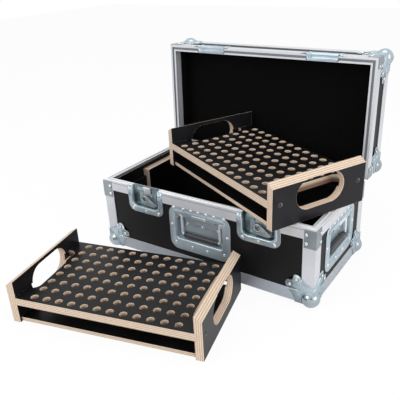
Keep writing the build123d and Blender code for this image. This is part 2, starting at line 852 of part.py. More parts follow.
def lid_nodes():
    nodes = lid_panels()
    nodes["lid_rim"] = lid_rim()
    nodes["lid_top_angles"] = horizontal_angles(lid_top_z, -1)
    nodes["lid_corner_angles"] = corner_angles(lid_rim_z + rim_skirt, lid_top_z - angle_leg)
    nodes["lid_ball_corners"] = to_lid_top(group(four_quadrants(ball_corner())))
    nodes["lid_rim_braces"] = to_lid_rim(group(four_quadrants(brace(lid_brace_height))))
    rivets = [to_lid_top(r) for r in in_quadrants(ball_rivets())]
    rivets += [to_lid_rim(r) for r in in_quadrants(brace_rivets(lid_brace_rivet_spacing))]
    for x in (-latch_x, latch_x):
        z_end = lid_rim_z + latch_lid_rise
        rivets += [Pos(x, 0, 0) * r for r in latch_rivets_at(lid_rim_z, z_end, -1)[:3]]
    for x in (-hinge_x, hinge_x):
        rivets += leaf_rivets(x, lid_rim_z + hinge_leaf_height * 0.6)
    nodes["lid_rivets"] = group(rivets)
    nodes["lid_foam_lining"] = lid_foam()
    nodes["latch_keeper_left"] = Pos(-latch_x, 0, 0) * keeper()
    nodes["latch_keeper_right"] = Pos(latch_x, 0, 0) * keeper()
    return {name: lid_pose(shape) for name, shape in nodes.items()}


def latch_nodes():
    nodes = {}
    for side, x in (("left", -latch_x), ("right", latch_x)):
        place = Pos(x, 0, 0)
        nodes["latch_dish_" + side] = place * latch_dish()
        nodes["latch_carrier_" + side] = place * latch_carrier()
        nodes["latch_key_" + side] = place * latch_key()
        nodes["latch_hook_" + side] = place * latch_hook()
    return nodes


def handle_nodes():
    nodes = {}
    ears, springs = [], []
    for side, move in (("front", lambda s: s), ("right", on_right), ("left", on_left)):
        nodes["handle_dish_" + side] = move(handle_dish())
        nodes["handle_bail_" + side] = move(handle_bail())
        nodes["handle_grip_" + side] = move(handle_grip())
        ears += [move(s) for s in handle_ears()]
        springs += [move(s) for s in handle_springs()]
    nodes["handle_ears"] = group(ears)
    nodes["handle_springs"] = group(springs)
    return nodes


def hinge_nodes():
    centres = (-hinge_x, hinge_x)
    return {
        "hinge_base_leaves": group([base_leaf(x) for x in centres]),
        "hinge_lid_leaves": group([lid_leaf(x) for x in centres]),
        "hinge_pins": group([hinge_pin(x) for x in centres]),
    }


def tray_nodes():
    nodes = {}
    pieces = tray_pieces()
    for tray, place in (("floor_tray", floor_tray_place()), ("upper_tray", upper_tray_place())):
        for name, shape in pieces.items():
            nodes[tray + "_" + name] = place * shape
    return nodes


def main():
    os.makedirs("parts", exist_ok=True)
    nodes = {}
    for made in (base_nodes(), lid_nodes(), latch_nodes(), handle_nodes(), hinge_nodes(), tray_nodes()):
        nodes.update(made)
    nodes["base_rivets"] = base_rivets()
    for name, shape in nodes.items():
        export_step(shape, "parts/" + name + ".step")
    print(len(nodes), "nodes")


main()
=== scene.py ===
import math

import bmesh
import bpy
from mathutils import Matrix, Vector


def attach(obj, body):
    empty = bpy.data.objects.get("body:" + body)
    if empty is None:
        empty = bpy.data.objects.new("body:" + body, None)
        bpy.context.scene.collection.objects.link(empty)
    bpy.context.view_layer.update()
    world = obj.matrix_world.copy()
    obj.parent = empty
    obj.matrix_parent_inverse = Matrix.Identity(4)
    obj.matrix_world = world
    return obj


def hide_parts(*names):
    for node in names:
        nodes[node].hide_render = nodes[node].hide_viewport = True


print("loading the packed case")
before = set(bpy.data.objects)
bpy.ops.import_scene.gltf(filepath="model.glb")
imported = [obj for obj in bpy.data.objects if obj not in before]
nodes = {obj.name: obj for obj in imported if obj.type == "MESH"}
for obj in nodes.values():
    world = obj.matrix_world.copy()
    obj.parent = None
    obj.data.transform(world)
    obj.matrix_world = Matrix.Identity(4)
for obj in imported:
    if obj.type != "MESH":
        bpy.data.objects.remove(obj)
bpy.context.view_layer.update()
mm = 0.001  # the pieces below are drawn in millimetres
hair = 1e-6  # corners about this near to each other, in metres, are one

case = {"halfLength": 300, "halfDepth": 150, "rimTop": 188, "lidRim": 188.4, "lidTop": 285.4, "foot": -2,
        "hingeY": 157, "hingeZ": 176, "lidOpen": 92}


# where a point drawn on a wall lies: along it, inwards from the profiles' face, and up

def onFront(along, inwards, up):
    return Vector((along, inwards - case["halfDepth"], up))


def onRight(along, inwards, up):
    return Vector((case["halfLength"] - inwards, along, up))


def onLeft(along, inwards, up):
    return Vector((inwards - case["halfLength"], -along, up))


hingeLine = Vector((0, case["hingeY"], case["hingeZ"]))
lidSwing = (Matrix.Translation(hingeLine) @ Matrix.Rotation(math.radians(-case["lidOpen"]), 4, "X")
            @ Matrix.Translation(-hingeLine))
lidUp = lidSwing.to_3x3() @ Vector((0, 0, 1))
lidForward = lidSwing.to_3x3() @ Vector((0, 1, 0))


# where a point drawn on the shut lid comes to lie

def inLid(x, y, z):
    return lidSwing @ Vector((x, y, z))


def onLid(along, inwards, up):
    return lidSwing @ onFront(along, inwards, up)


def asDrawn(x, y, z):
    return Vector((x, y, z))


# node wiring written as sums

class Wire:
    def __init__(self, tree, socket):
        self.tree = tree
        self.socket = socket

    def work(self, operation, first, second=None):
        node = self.tree.nodes.new("ShaderNodeMath")
        node.operation = operation
        for place, value in enumerate((first, second)):
            if isinstance(value, Wire):
                self.tree.links.new(value.socket, node.inputs[place])
            elif value is not None:
                node.inputs[place].default_value = value
        return Wire(self.tree, node.outputs[0])

    def __add__(self, other):
        return self.work("ADD", self, other)

    __radd__ = __add__

    def __sub__(self, other):
        return self.work("SUBTRACT", self, other)

    def __rsub__(self, other):
        return self.work("SUBTRACT", other, self)

    def __mul__(self, other):
        return self.work("MULTIPLY", self, other)

    __rmul__ = __mul__

    def __truediv__(self, other):
        return self.work("DIVIDE", self, other)

    def __rtruediv__(self, other):
        return self.work("DIVIDE", other, self)

    def size(self):
        return self.work("ABSOLUTE", self)

    def wave(self):
        return self.work("SINE", self)

    def orLess(self, other):
        return self.work("MINIMUM", self, other)

    def clipped(self):
        found = self.work("ADD", self, 0.0)
        found.socket.node.use_clamp = True
        return found

    def ramp(self, low, high):
        return ((self - low) / (high - low)).clipped()


class Wiring:
    def __init__(self, owner):
        owner.use_nodes = True
        self.tree = owner.node_tree

    def add(self, kind, settings, inputs, output=0):
        node = self.tree.nodes.new(kind)
        for setting, value in settings.items():
            setattr(node, setting, value)
        for socket, value in inputs.items():
            if isinstance(value, Wire):
                self.tree.links.new(value.socket, node.inputs[socket])
            else:
                node.inputs[socket].default_value = value
        return Wire(self.tree, node.outputs[output]) if node.outputs else None


class Finish(Wiring):
    def __init__(self, name, fixed):
        self.material = bpy.data.materials.new(name)
        super().__init__(self.material)
        self.shader = self.tree.nodes["Principled BSDF"]
        for socket, value in fixed.items():
            self.shader.inputs[socket].default_value = value
        self.spot = self.add("ShaderNodeTexCoord", {}, {}, "Object")
        self.facing = self.add("ShaderNodeTexCoord", {}, {}, "Normal")

    def vector(self, operation, first, second, output=0):
        sockets = {0: first, 1: tuple(second)}
        return self.add("ShaderNodeVectorMath", {"operation": operation}, sockets, output)

    def along(self, vector, direction):
        return self.vector("DOT_PRODUCT", vector, direction, "Value")

    def reach(self, direction):
        # how far a point lies this way, in millimetres
        return self.along(self.spot, direction) * 1000

    def noise(self, scale, detail=2.0, stretch=(1, 1, 1)):
        spot = self.spot if stretch == (1, 1, 1) else self.vector("MULTIPLY", self.spot, stretch)
        return self.add("ShaderNodeTexNoise", {}, {"Vector": spot, "Scale": scale, "Detail": detail})

    def blend(self, share, first, second):
        # a tone is a linked colour or red, green and blue as a screen shows them
        sides = {6: first, 7: second}
        tones = {socket: tone if isinstance(tone, Wire) else paint(*tone) for socket, tone in sides.items()}
        return self.add("ShaderNodeMix", {"data_type": "RGBA"}, {0: share, **tones}, 2)

    def send(self, socket, wire):
        self.tree.links.new(wire.socket, self.shader.inputs[socket])

    def bump(self, height, strength, distance):
        sockets = {"Height": height, "Strength": strength, "Distance": distance}
        self.send("Normal", self.add("ShaderNodeBump", {}, sockets))


def linear(level):
    share = level / 255
    return ((share + 0.055) / 1.055) ** 2.4 if level > 10 else share / 12.92


def paint(red, green, blue):
    return linear(red), linear(green), linear(blue), 1


print("mixing the finishes")
laminate = {"dark": (6, 5, 6), "light": (14, 12, 13), "roughness": 0.4}
rubber = {"dark": (40, 39, 43), "light": (66, 64, 70), "roughness": 0.24}
foam = {"dark": (5, 5, 5), "light": (15, 14, 15), "roughness": 0.86, "cells": 620.0}
screwSteel = {"dark": (60, 60, 62), "light": (112, 110, 108), "roughness": 0.3}
# the near-white tone is a painted highlight; the groove, recess and rotor greys and the latch's recess tone
# are painted shade; the lower pair and the dark pair are darker copies of the profile and zinc tones, painted
# as shade
metal = {"profile": (220, 222, 227), "profileShade": (202, 205, 211), "polished": (250, 251, 252),
         "lower": (184, 190, 198), "lowerShade": (160, 167, 176),
         "zinc": (188, 203, 211), "zincShade": (160, 176, 186),
         "bright": (240, 242, 243), "brightShade": (205, 211, 214),
         "dark": (156, 165, 170), "darkShade": (126, 135, 141),
         "groove": (84, 90, 96), "recess": (52, 54, 57), "latchDeep": (78, 96, 100), "rotor": (112, 108, 106)}
tray = {"film": (7, 7, 8), "filmLight": (19, 19, 22), "endFilm": (15, 15, 18), "endFilmLight": (30, 29, 34),
        "birch": (230, 211, 192), "birchShade": (204, 181, 158), "line": (150, 116, 92),
        "burnt": (92, 62, 42), "layer": 4.5, "halfLength": 227, "halfDepth": 128.5, "deckTop": 65,
        "sideBoard": -289}
# painted shade in the rolled groove, by how far in from the case's edge it runs, and the height of the lip,
# where a thin line of painted shade runs
rims = {"base": {"forward": (0, 1, 0), "middle": 0, "groove": (11.0, 17.0), "lip": 182.6},
        "lid": {"forward": lidForward, "middle": lidForward.dot(inLid(0, 0, 0)), "groove": (6.3, 12.3),
                "lip": lidUp.dot(inLid(0, 0, 193.8))}}


def caseLaminate():
    made = Finish("black laminate", {"IOR": 1.5, "Specular IOR Level": 0.22})
    cloud = made.noise(7, 3)
    grain = made.noise(900, 3)
    made.send("Base Color", made.blend(cloud.ramp(0.3, 0.7), laminate["dark"], laminate["light"]))
    made.send("Roughness", laminate["roughness"] + cloud * 0.1 + grain * 0.12)
    made.bump(grain, 0.22, 0.0004)
    return made.material


def profileMetal(name, direction, pitch=3.4, rim=None, tones=("profile", "profileShade")):
    made = Finish(name, {"Metallic": 0.4})
    cloud = made.noise(11, 3)
    brushed = made.noise(60, 4, (1.0, 1.0, 9.0))
    lines = (made.reach(direction) * (math.tau / pitch)).wave()
    light, shade = tones
    colour = made.blend((cloud * 0.7 + brushed * 0.3).ramp(0.3, 0.7), metal[shade], metal[light])
    if rim:
        sideways = case["halfLength"] - made.reach((1, 0, 0)).size()
        fromMiddle = (made.reach(rim["forward"]) - rim["middle"]).size()
        inset = sideways.orLess(case["halfDepth"] - fromMiddle)
        low, high = rim["groove"]
        # painted shade: the rolled groove and a thin line at the lip are painted dark
        groove = inset.ramp(low - 0.4, low + 0.2) * (1 - inset.ramp(high - 0.2, high + 0.4))
        lip = (made.reach(direction) - rim["lip"]).size().ramp(0.95, 0.35)
        colour = made.blend(groove * 0.8, colour, metal["groove"])
        colour = made.blend(lip * 0.75, colour, metal["groove"])
    # painted highlight: the faces that look this way are painted near white
    polished = made.along(made.facing, direction).ramp(0.8, 0.95)
    made.send("Base Color", made.blend(polished * 0.8, colour, metal["polished"]))
    made.send("Roughness", 0.3 + brushed * 0.16)
    made.bump(lines * 0.5 + brushed * 0.4, 0.16, 0.0003)
    return made.material


def pressedSteel(name, base, shade, roughness, metallic=0.55, recessShade=None):
    # without a shade, the plating is even
    made = Finish(name, {"Metallic": metallic, "Base Color": paint(*metal[base])})
    scuffs = made.noise(240, 4, (1.0, 0.3, 1.4))
    if shade:
        cloud = made.noise(15, 2)
        colour = made.blend((cloud * 0.8 + scuffs * 0.2).ramp(0.3, 0.7), metal[shade], metal[base])
        if recessShade:
            # painted shade: the plating is painted darker down in a recess
            inset = case["halfDepth"] - made.reach((0, 1, 0)).size()
            colour = made.blend(inset.ramp(1.0, 7.0) * (0.45 + cloud), colour, metal[recessShade])
        made.send("Base Color", colour)
    made.send("Roughness", roughness + scuffs * 0.14)
    made.bump(scuffs, 0.05, 0.0004)
    return made.material


def gripRubber():
    made = Finish("grip rubber", {"IOR": 1.5})
    grain = made.noise(700, 3)
    made.send("Base Color", made.blend(grain, rubber["dark"], rubber["light"]))
    made.send("Roughness", rubber["roughness"] + grain * 0.14)
    made.bump(grain, 0.25, 0.0004)
    return made.material


def liningFoam():
    made = Finish("lining foam", {"IOR": 1.4, "Specular IOR Level": 0.1})
    cells = made.add("ShaderNodeTexVoronoi", {}, {"Vector": made.spot, "Scale": foam["cells"]}, "Distance")
    cloud = made.noise(9, 3)
    made.send("Base Color", made.blend((cloud * 0.6 + cells * 0.5).clipped(), foam["dark"], foam["light"]))
    made.send("Roughness", foam["roughness"] + cells * 0.12)
    made.bump(cells, 0.5, 0.0008)
    return made.material


def trayBoard(name, face, origin, film=("film", "filmLight"), shadeHolesAcross=None):
    # black film on both faces of the sheet, bare birch layers on every cut edge
    made = Finish(name, {"IOR": 1.5, "Specular IOR Level": 0.2})
    fromOrigin = made.vector("SUBTRACT", made.spot, (v * mm for v in origin))
    depth = made.along(fromOrigin, face) * 1000
    wavy = depth + made.noise(30, 2) * 0.6
    layers = (wavy * (math.tau / tray["layer"])).wave()
    glue = (wavy * (math.pi / tray["layer"]) + 0.7).wave().size().ramp(0.3, 0.08)
    grain = made.noise(210, 3)
    wood = made.blend((layers * 0.35 + grain * 0.9).ramp(0.1, 0.9), tray["birchShade"], tray["birch"])
    wood = made.blend(glue * 0.75, wood, tray["line"])
    if shadeHolesAcross:
        # painted shade darkens the deck's holes brown further down, and the lower board stays pale
        top = tray["deckTop"]
        inside = tray["halfDepth"] - (made.along(fromOrigin, shadeHolesAcross) * 1000).size()
        lower = depth.ramp(top - 3, top - 11) * depth.ramp(top - 20, top - 19)
        wood = made.blend(inside.ramp(0.5, 1.5) * lower * 0.85, wood, tray["burnt"])
    cloud = made.noise(12, 3)
    mesh = made.noise(800, 2)
    dark, light = film
    coat = made.blend(cloud.ramp(0.3, 0.7), tray[dark], tray[light])
    onFace = made.along(made.facing, face).size().ramp(0.9, 0.975)
    made.send("Base Color", made.blend(onFace, wood, coat))
    made.send("Roughness", 0.62 - onFace * 0.32 + mesh * 0.08)
    made.bump(grain * 0.5 * (1 - onFace) + mesh * onFace * 0.3, 0.2, 0.0004)
    return made.material


def darkScrew():
    made = Finish("screw steel", {"Metallic": 1.0})
    cloud = made.noise(300, 2)
    made.send("Base Color", made.blend(cloud, screwSteel["dark"], screwSteel["light"]))
    made.send("Roughness", screwSteel["roughness"] + cloud * 0.2)
    return made.material


def standing(yaw, tilt, origin):
    # a tray's own directions, and the middle of its underside
    turn = Matrix.Rotation(math.radians(yaw), 3, "Z") @ Matrix.Rotation(math.radians(tilt), 3, "Y")
    return {"along": turn.col[0].copy(), "across": turn.col[1].copy(), "up": turn.col[2].copy(),
            "origin": Vector(origin)}


trays = {"floor": standing(13.6, 0, (-69, -338, -12.5)),
         "upper": standing(-25.8, 1.2291, (75, 10.7, 195.669))}
upright = (0, 0, 1)
finishes = {
    "laminated_plywood": caseLaminate(),
    "baseRimProfile": profileMetal("base rim profile", upright, rim=rims["base"]),
    # the bottom angles take a darker copy of the profile tones: painted shade
    "lowerProfile": profileMetal("lower profile", upright, tones=("lower", "lowerShade")),
    "lidProfile": profileMetal("lid profile", lidUp),
    "lidRimProfile": profileMetal("lid rim profile", lidUp, rim=rims["lid"]),
    "uprightProfile": profileMetal("upright profile", (0.7071, 0.7071, 0), 5.0),
    "zinc_steel": pressedSteel("zinc plate", "zinc", "zincShade", 0.24),
    "bright_steel": pressedSteel("bright steel", "bright", "brightShade", 0.16, 0.7),
    "ballSteel": pressedSteel("drawn ball", "zinc", "dark", 0.12, 0.88),
    # the latch plate carries painted shade down in its recess
    "latchSteel": pressedSteel("latch plate", "zinc", "zincShade", 0.22, 0.6, "latchDeep"),
    # the cup's bore and holes are painted darker than the cup: painted shade
    "rotorSteel": pressedSteel("rotor face", "rotor", "groove", 0.3, 0.6),
    "rodSteel": pressedSteel("bail rod", "bright", None, 0.22, 0.4),
    # a darker copy of the zinc plate for the braces and key wings: painted shade and dark reflection
    "darkPlate": pressedSteel("brace plate", "dark", "darkShade", 0.24),
    "shadowSteel": pressedSteel("shaded steel", "groove", "recess", 0.4),
    "sideBoard": trayBoard("side board", (1, 0, 0), (tray["sideBoard"], 0, 0)),
    "grip_rubber": gripRubber(),
    "lining_foam": liningFoam(),
    "screw_steel": darkScrew(),
}
for which, stand in trays.items():
    finishes[which + "Ends"] = trayBoard(which + " tray ends", stand["along"], stand["origin"],
                                         ("endFilm", "endFilmLight"))
    finishes[which + "Boards"] = trayBoard(which + " tray boards", stand["up"], stand["origin"],
                                           shadeHolesAcross=stand["across"])


# pieces in mesh code

class Shell:
    def __init__(self, place):
        self.mesh = bmesh.new()
        self.place = place

    def ring(self, points):
        return [self.mesh.verts.new(self.place(*p) * mm) for p in points]

    def join(self, first, second, closed=True):
        count = len(first) if closed else len(first) - 1
        for i in range(count):
            j = (i + 1) % len(first)
            self.mesh.faces.new((first[i], first[j], second[j], second[i]))

    def loft(self, rings, closed=True, startCap=False, endCap=False):
        rows = [self.ring(r) for r in rings]
        for first, second in zip(rows, rows[1:]):
            self.join(first, second, closed)
        if startCap:
            self.mesh.faces.new(rows[0])
        if endCap:
            self.mesh.faces.new(rows[-1])

    def piece(self, name, body, slot, replaced=(), finish=None, smooth=35, thick=0.0):
        bmesh.ops.remove_doubles(self.mesh, verts=self.mesh.verts, dist=2 * hair)
        bmesh.ops.recalc_face_normals(self.mesh, faces=self.mesh.faces)
        data = bpy.data.meshes.new(name)
        self.mesh.to_mesh(data)
        self.mesh.free()
        for face in data.polygons:
            face.use_smooth = True
        data.set_sharp_from_angle(angle=math.radians(smooth))
        data.materials.append(finishes[finish or slot])
        thing = bpy.data.objects.new(name, data)
        bpy.context.scene.collection.objects.link(thing)
        if thick:
            sheet = thing.modifiers.new("sheet", "SOLIDIFY")
            sheet.thickness = thick * mm
            sheet.offset = 0
        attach(thing, body)
        if replaced:
            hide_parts(*replaced)
        return thing


def roundedRect(width, height, radius, centre=(0, 0), steps=7):
    points = []
    for sideX, sideZ, start in ((1, 1, 0), (-1, 1, 90), (-1, -1, 180), (1, -1, 270)):
        for step in range(steps + 1):
            angle = math.radians(start + 90 * step / steps)
            points.append((centre[0] + sideX * (width / 2 - radius) + radius * math.cos(angle),
                           centre[1] + sideZ * (height / 2 - radius) + radius * math.sin(angle)))
    return points


def insetRing(size, inset, depth, middle):
    # a rounded rectangle on a wall, drawn in from its size by inset, or out where that is below nought
    width, height, corner = size
    outline = roundedRect(width - 2 * inset, height - 2 * inset, corner - inset, middle)
    return [(x, depth, z) for x, z in outline]


def filletPath(points, radii, steps=6):
    points = [Vector(p) for p in points]
    path = [points[0]]
    for before, here, after, reach in zip(points, points[1:], points[2:], radii):
        back, ahead = (before - here).normalized(), (after - here).normalized()
        for step in range(steps + 1):
            share = step / steps
            path.append(here + back * reach * (1 - share) ** 2 + ahead * reach * share ** 2)
    return path + [points[-1]]


def circle(centre, side, across, size, sides):
    angles = [2 * math.pi * k / sides for k in range(sides)]
    return [tuple(centre + (side * math.cos(a) + across * math.sin(a)) * size) for a in angles]


def tube(shell, path, radius, sides=14):
    rows = []
    side = None
    for i, spot in enumerate(path):
        ahead = (path[min(i + 1, len(path) - 1)] - path[max(i - 1, 0)]).normalized()
        if side is None:
            side = ahead.orthogonal().normalized()
        side = (side - ahead * side.dot(ahead)).normalized()
        rows.append(circle(spot, side, ahead.cross(side), radius, sides))
    shell.loft(rows, startCap=True, endCap=True)


def lathe(shell, centre, axis, profile, sides=20):
    # profile: distance along the axis, and radius
    centre, axis = Vector(centre), Vector(axis).normalized()
    side = axis.orthogonal().normalized()
    across = axis.cross(side)
    narrowest = 0.02  # a ring can't close to a point
    shell.loft([circle(centre + axis * reach, side, across, max(size, narrowest), sides)
                for reach, size in profile], startCap=True, endCap=True)


def islands(name, undo=None):
    # the loose solids of a node, each as its box in millimetres
    mesh = bmesh.new()
    mesh.from_mesh(nodes[name].data)
    bmesh.ops.remove_doubles(mesh, verts=mesh.verts, dist=hair)
    seen, found = set(), []
    for start in mesh.verts:
        if start in seen:
            continue
        seen.add(start)
        heap, members = [start], []
        while heap:
            vertex = heap.pop()
            members.append(undo @ (vertex.co / mm) if undo else vertex.co / mm)
            for edge in vertex.link_edges:
                other = edge.other_vert(vertex)
                if other not in seen:
                    seen.add(other)
                    heap.append(other)
        low = Vector(min(v[k] for v in members) for k in range(3))
        high = Vector(max(v[k] for v in members) for k in range(3))
        found.append((low, high))
    mesh.free()
    return found


print("pressing the latch dishes")
# pairs: how far in from the edge or out from the recess, and how deep in the wall
dish = {"sheet": 0.7, "flange": [(0, 2.0), (0, 1.0), (0.5, 0.5)],
        "bead": [(6.2, 0.5), (5.0, -0.2), (3.9, -0.8), (2.7, -1.05), (1.5, -0.75), (0.5, -0.1), (0.0, 0.9)],
        "crest": [(1.3, -0.8), (1.9, -1.25), (3.3, -1.25), (4.0, -0.85)]}
latch = {"x": 162, "halfWidth": 55, "low": 118, "corner": 20, "recessHalf": 41, "recessLow": 134,
         "recessCorner": 12, "wall": [(0.3, 4), (0.7, 10), (1.0, 12.5), (1.8, 13.9), (3.4, 14.5)],
         "beadFoot": {"out": 8.5, "round": 7, "depth": 0.5}, "step": 160, "stepHalf": 1.2, "stepRise": 1.5,
         "beadRise": 0.25, "spindle": 153}
keeper = latch | {"low": 155, "corner": 14, "recessLow": 171, "recessCorner": 8, "stepRise": 0, "beadRise": 0}
# the lip that the hook pulls on
hookLip = {"size": (3.0, 2.0, 0.8), "middle": (2.0, 185.5), "along": (-41, -14, 14, 41)}


def bentOutline(half, low, corner, inwards, rise, top=case["rimTop"], steps=7):
    # an open outline: down the left side, round the bottom, up the right side
    step, bend = latch["step"], latch["stepHalf"]
    left = [(-half, top), (-half, step + bend), (-half, step - bend)]
    for k in range(steps + 1):
        angle = math.radians(180 + 90 * k / steps)
        left.append((-half + corner + corner * math.cos(angle), low + corner + corner * math.sin(angle)))
    points = left + [(-x, z) for x, z in reversed(left)]
    return [(x, inwards - (rise if z > step else 0), z) for x, z in points]


def recessOutline(shape, out, depth, rise, top=case["rimTop"]):
    return bentOutline(shape["recessHalf"] + out, shape["recessLow"] - out, shape["recessCorner"] + out,
                       depth, rise, top)


def latchShell(place, shape):
    rings = [bentOutline(shape["halfWidth"] - inset, shape["low"] + inset, shape["corner"] - inset,
                         depth, shape["stepRise"]) for inset, depth in dish["flange"]]
    foot = shape["beadFoot"]
    rings.append(bentOutline(shape["recessHalf"] + foot["out"], shape["recessLow"] - foot["out"],
                             shape["recessCorner"] + foot["round"], foot["depth"], shape["stepRise"]))
    rings += [recessOutline(shape, out, depth, shape["beadRise"]) for out, depth in dish["bead"]]
    rings += [recessOutline(shape, -inset, depth, 0) for inset, depth in shape["wall"]]
    shell = Shell(place)
    shell.loft(rings, closed=False, endCap=True)
    return shell


# about the spindle, in the plane of the case's front; what is turned goes by depth and radius
wing = {"outline": [(-18.2, 3), (-17.5, -5), (-13, -10.5), (24, -14), (31, -11.5), (29.5, -7), (3, 12.5),
                    (-9, 12.5)],
        "rounding": [3, 3, 3, 3, 2, 2, 4, 4], "edge": [(0.3, 4.6), (0, 4.4), (0, 3.4), (0.4, 3.2)],
        "ridge": [(-7, 12.8), (3, 12.4), (26, -5.2), (30.5, -8.6)], "ridgeDepth": 3.0, "ridgeRadius": 0.95,
        "lip": [(-12, -10.2), (0, -11.6), (22, -13.9), (28, -12.4)], "lipDepth": 3.2, "lipRadius": 0.8,
        "spindle": [(4.0, 0), (4.0, 5.0), (14.4, 5.0), (14.4, 0)],
        "cam": [(10.2, 0), (10.2, 8.4), (10.6, 9.0), (12.6, 9.0), (12.6, 0)]}
rotor = {"across": -3.4, "up": 4.2,
         "cup": [(1.7, 0), (1.7, 4.6), (2.4, 5.2), (2.4, 6.8), (1.5, 7.4), (1.3, 8.2), (1.8, 9.0), (3.4, 9.3),
                 (3.4, 0)],
         "hollow": [(1.55, 0), (1.55, 4.3), (2.3, 5.1), (2.3, 6.9), (2.5, 6.9), (2.5, 0)],
         "holes": [(-13.6, -4.2, 1.9), (14.4, -6.2, 1.4)], "holeFloor": 3.0, "holeBack": 3.2,
         "holeRim": [(3.1, 0), (2.6, 0.4), (2.6, 1.0), (3.3, 1.3)]}
intoCase = (0, 1, 0)


def wingKey(place, side):
    body = "latch_key_" + side
    key = Shell(place)
    outer = filletPath(wing["outline"] + wing["outline"][:2], wing["rounding"], 4)[1:-1]
    centre = sum(outer, Vector((0, 0))) / len(outer)
    rings = []
    for inset, depth in wing["edge"]:
        drawnIn = [point + (centre - point).normalized() * inset for point in outer]
        rings.append([(u, depth, v) for u, v in drawnIn])
    key.loft(rings, startCap=True, endCap=True)
    # its folded ridge and lip, and the spindle and cam behind
    ridge = filletPath([(u, wing["ridgeDepth"], v) for u, v in wing["ridge"]], [2, 2], 4)
    lip = filletPath([(u, wing["lipDepth"], v) for u, v in wing["lip"]], [3, 3], 4)
    tube(key, ridge, wing["ridgeRadius"], 8)
    tube(key, lip, wing["lipRadius"], 8)
    lathe(key, (0, 0, 0), intoCase, wing["spindle"])
    lathe(key, (0, 0, 0), intoCase, wing["cam"], 28)
    # the wing takes the darker zinc: painted shade
    key.piece(body + "_wing", body, "zinc_steel", [body], "darkPlate")
    cup, hollows = Shell(place), Shell(place)
    spot = (rotor["across"], 0, rotor["up"])
    lathe(cup, spot, intoCase, rotor["cup"], 28)
    lathe(hollows, spot, intoCase, rotor["hollow"], 24)
    floor, back = rotor["holeFloor"], rotor["holeBack"]
    for across, up, size in rotor["holes"]:
        lathe(cup, (across, 0, up), intoCase, [(depth, size + more) for depth, more in rotor["holeRim"]], 14)
        lathe(hollows, (across, 0, up), intoCase, [(floor, 0), (floor, size), (back, size), (back, 0)], 14)
    cup.piece("latch_rotor_" + side, body, "zinc_steel")
    # painted shade inside the cup's bore and holes
    hollows.piece("latch_rotor_hollow_" + side, body, "zinc_steel", finish="rotorSteel")


for side, x in (("left", -latch["x"]), ("right", latch["x"])):
    def onDish(along, inwards, up, x=x):
        return onFront(along + x, inwards, up)

    def onKeeper(along, inwards, up, x=x):
        # drawn as a latch dish, upside down
        return onLid(along + x, inwards, case["lidRim"] + case["rimTop"] - up)

    def atSpindle(along, inwards, up, x=x):
        return onFront(along + x, inwards, up + latch["spindle"])

    latchDish = latchShell(onDish, latch)
    latchDish.piece("latch_dish_" + side + "_pressed", "case", "zinc_steel", ["latch_dish_" + side],
                    "latchSteel", thick=dish["sheet"])
    # the bead's crest takes the bright finish as a painted highlight, and stops 1 mm short of the rim
    crest = Shell(onDish)
    crest.loft([recessOutline(latch, out, depth, latch["beadRise"], case["rimTop"] - 1)
                for out, depth in dish["crest"]], closed=False)
    crest.piece("latch_crest_" + side, "case", "bright_steel")
    lidDish = latchShell(onKeeper, keeper)
    lip = roundedRect(*hookLip["size"], hookLip["middle"], 3)
    lidDish.loft([[(along, d, z) for d, z in lip] for along in hookLip["along"]], startCap=True, endCap=True)
    lidDish.piece("latch_keeper_" + side + "_pressed", "lid", "zinc_steel", ["latch_keeper_" + side],
                  thick=dish["sheet"])
    wingKey(atSpindle, side)

print("pressing the handle dishes and bending the bails")
handle = {"outer": (176, 118, 24), "middle": (0, 102), "recess": (134, 69, 6), "recessMiddle": (0, 108.5),
          "wall": [(0.2, 5), (0.6, 12), (0.9, 14.5), (1.7, 16.0), (3.0, 16.5)], "floor": 16.5,
          "ledge": (122, 30, 3), "ledgeMiddle": (0, 123), "ledgeRise": [(0, 0), (0.5, 0.7), (1.0, 0.8)],
          "lining": [(1.6, 9.6), (1.6, 16.6), (1.0, 17.5), (-1.0, 17.8)]}
bail = {"pivot": 136.5, "inwards": 8.5, "endX": 65, "armX": 55, "gripZ": 84.5, "rod": 3.5,
        "bends": [5, 7, 7, 5]}
# end and groove: distance along the grip, and radius
grip = {"radius": 6.8, "half": 49, "end": [(0, 3.7), (0, 5.4), (0.5, 6.3), (1.5, 6.8)],
        "groove": [(0, 6.8), (0.4, 6.2), (1, 6.2), (1.4, 6.8)], "grooves": (5, 8),
        "waistFrom": 12, "waistDepth": 0.35, "waistSteps": 8}


def handleDish(place, side):
    name = "handle_dish_" + side
    recess, middle = handle["recess"], handle["recessMiddle"]
    shell = Shell(place)
    rings = [insetRing(handle["outer"], inset, depth, handle["middle"]) for inset, depth in dish["flange"]]
    rings += [insetRing(recess, -out, depth, middle) for out, depth in dish["bead"]]
    rings += [insetRing(recess, inset, depth, middle) for inset, depth in handle["wall"]]
    shell.loft(rings, endCap=True)
    # pressed ledge that stiffens the floor under the rivets
    width, height, corner = handle["ledge"]
    ledge = []
    for inset, rise in handle["ledgeRise"]:
        outline = roundedRect(width - 2 * inset, height - 2 * inset, corner, handle["ledgeMiddle"])
        ledge.append([(x, handle["floor"] - rise, z) for x, z in outline])
    shell.loft(ledge, endCap=True)
    # the bead's crest in the bright finish: a painted highlight
    crest = Shell(place)
    crest.loft([insetRing(recess, -out, depth, middle) for out, depth in dish["crest"]])
    crest.piece(name + "_pressed_crest", "case", "bright_steel")
    shell.piece(name + "_pressed", "case", "zinc_steel", [name], thick=dish["sheet"])


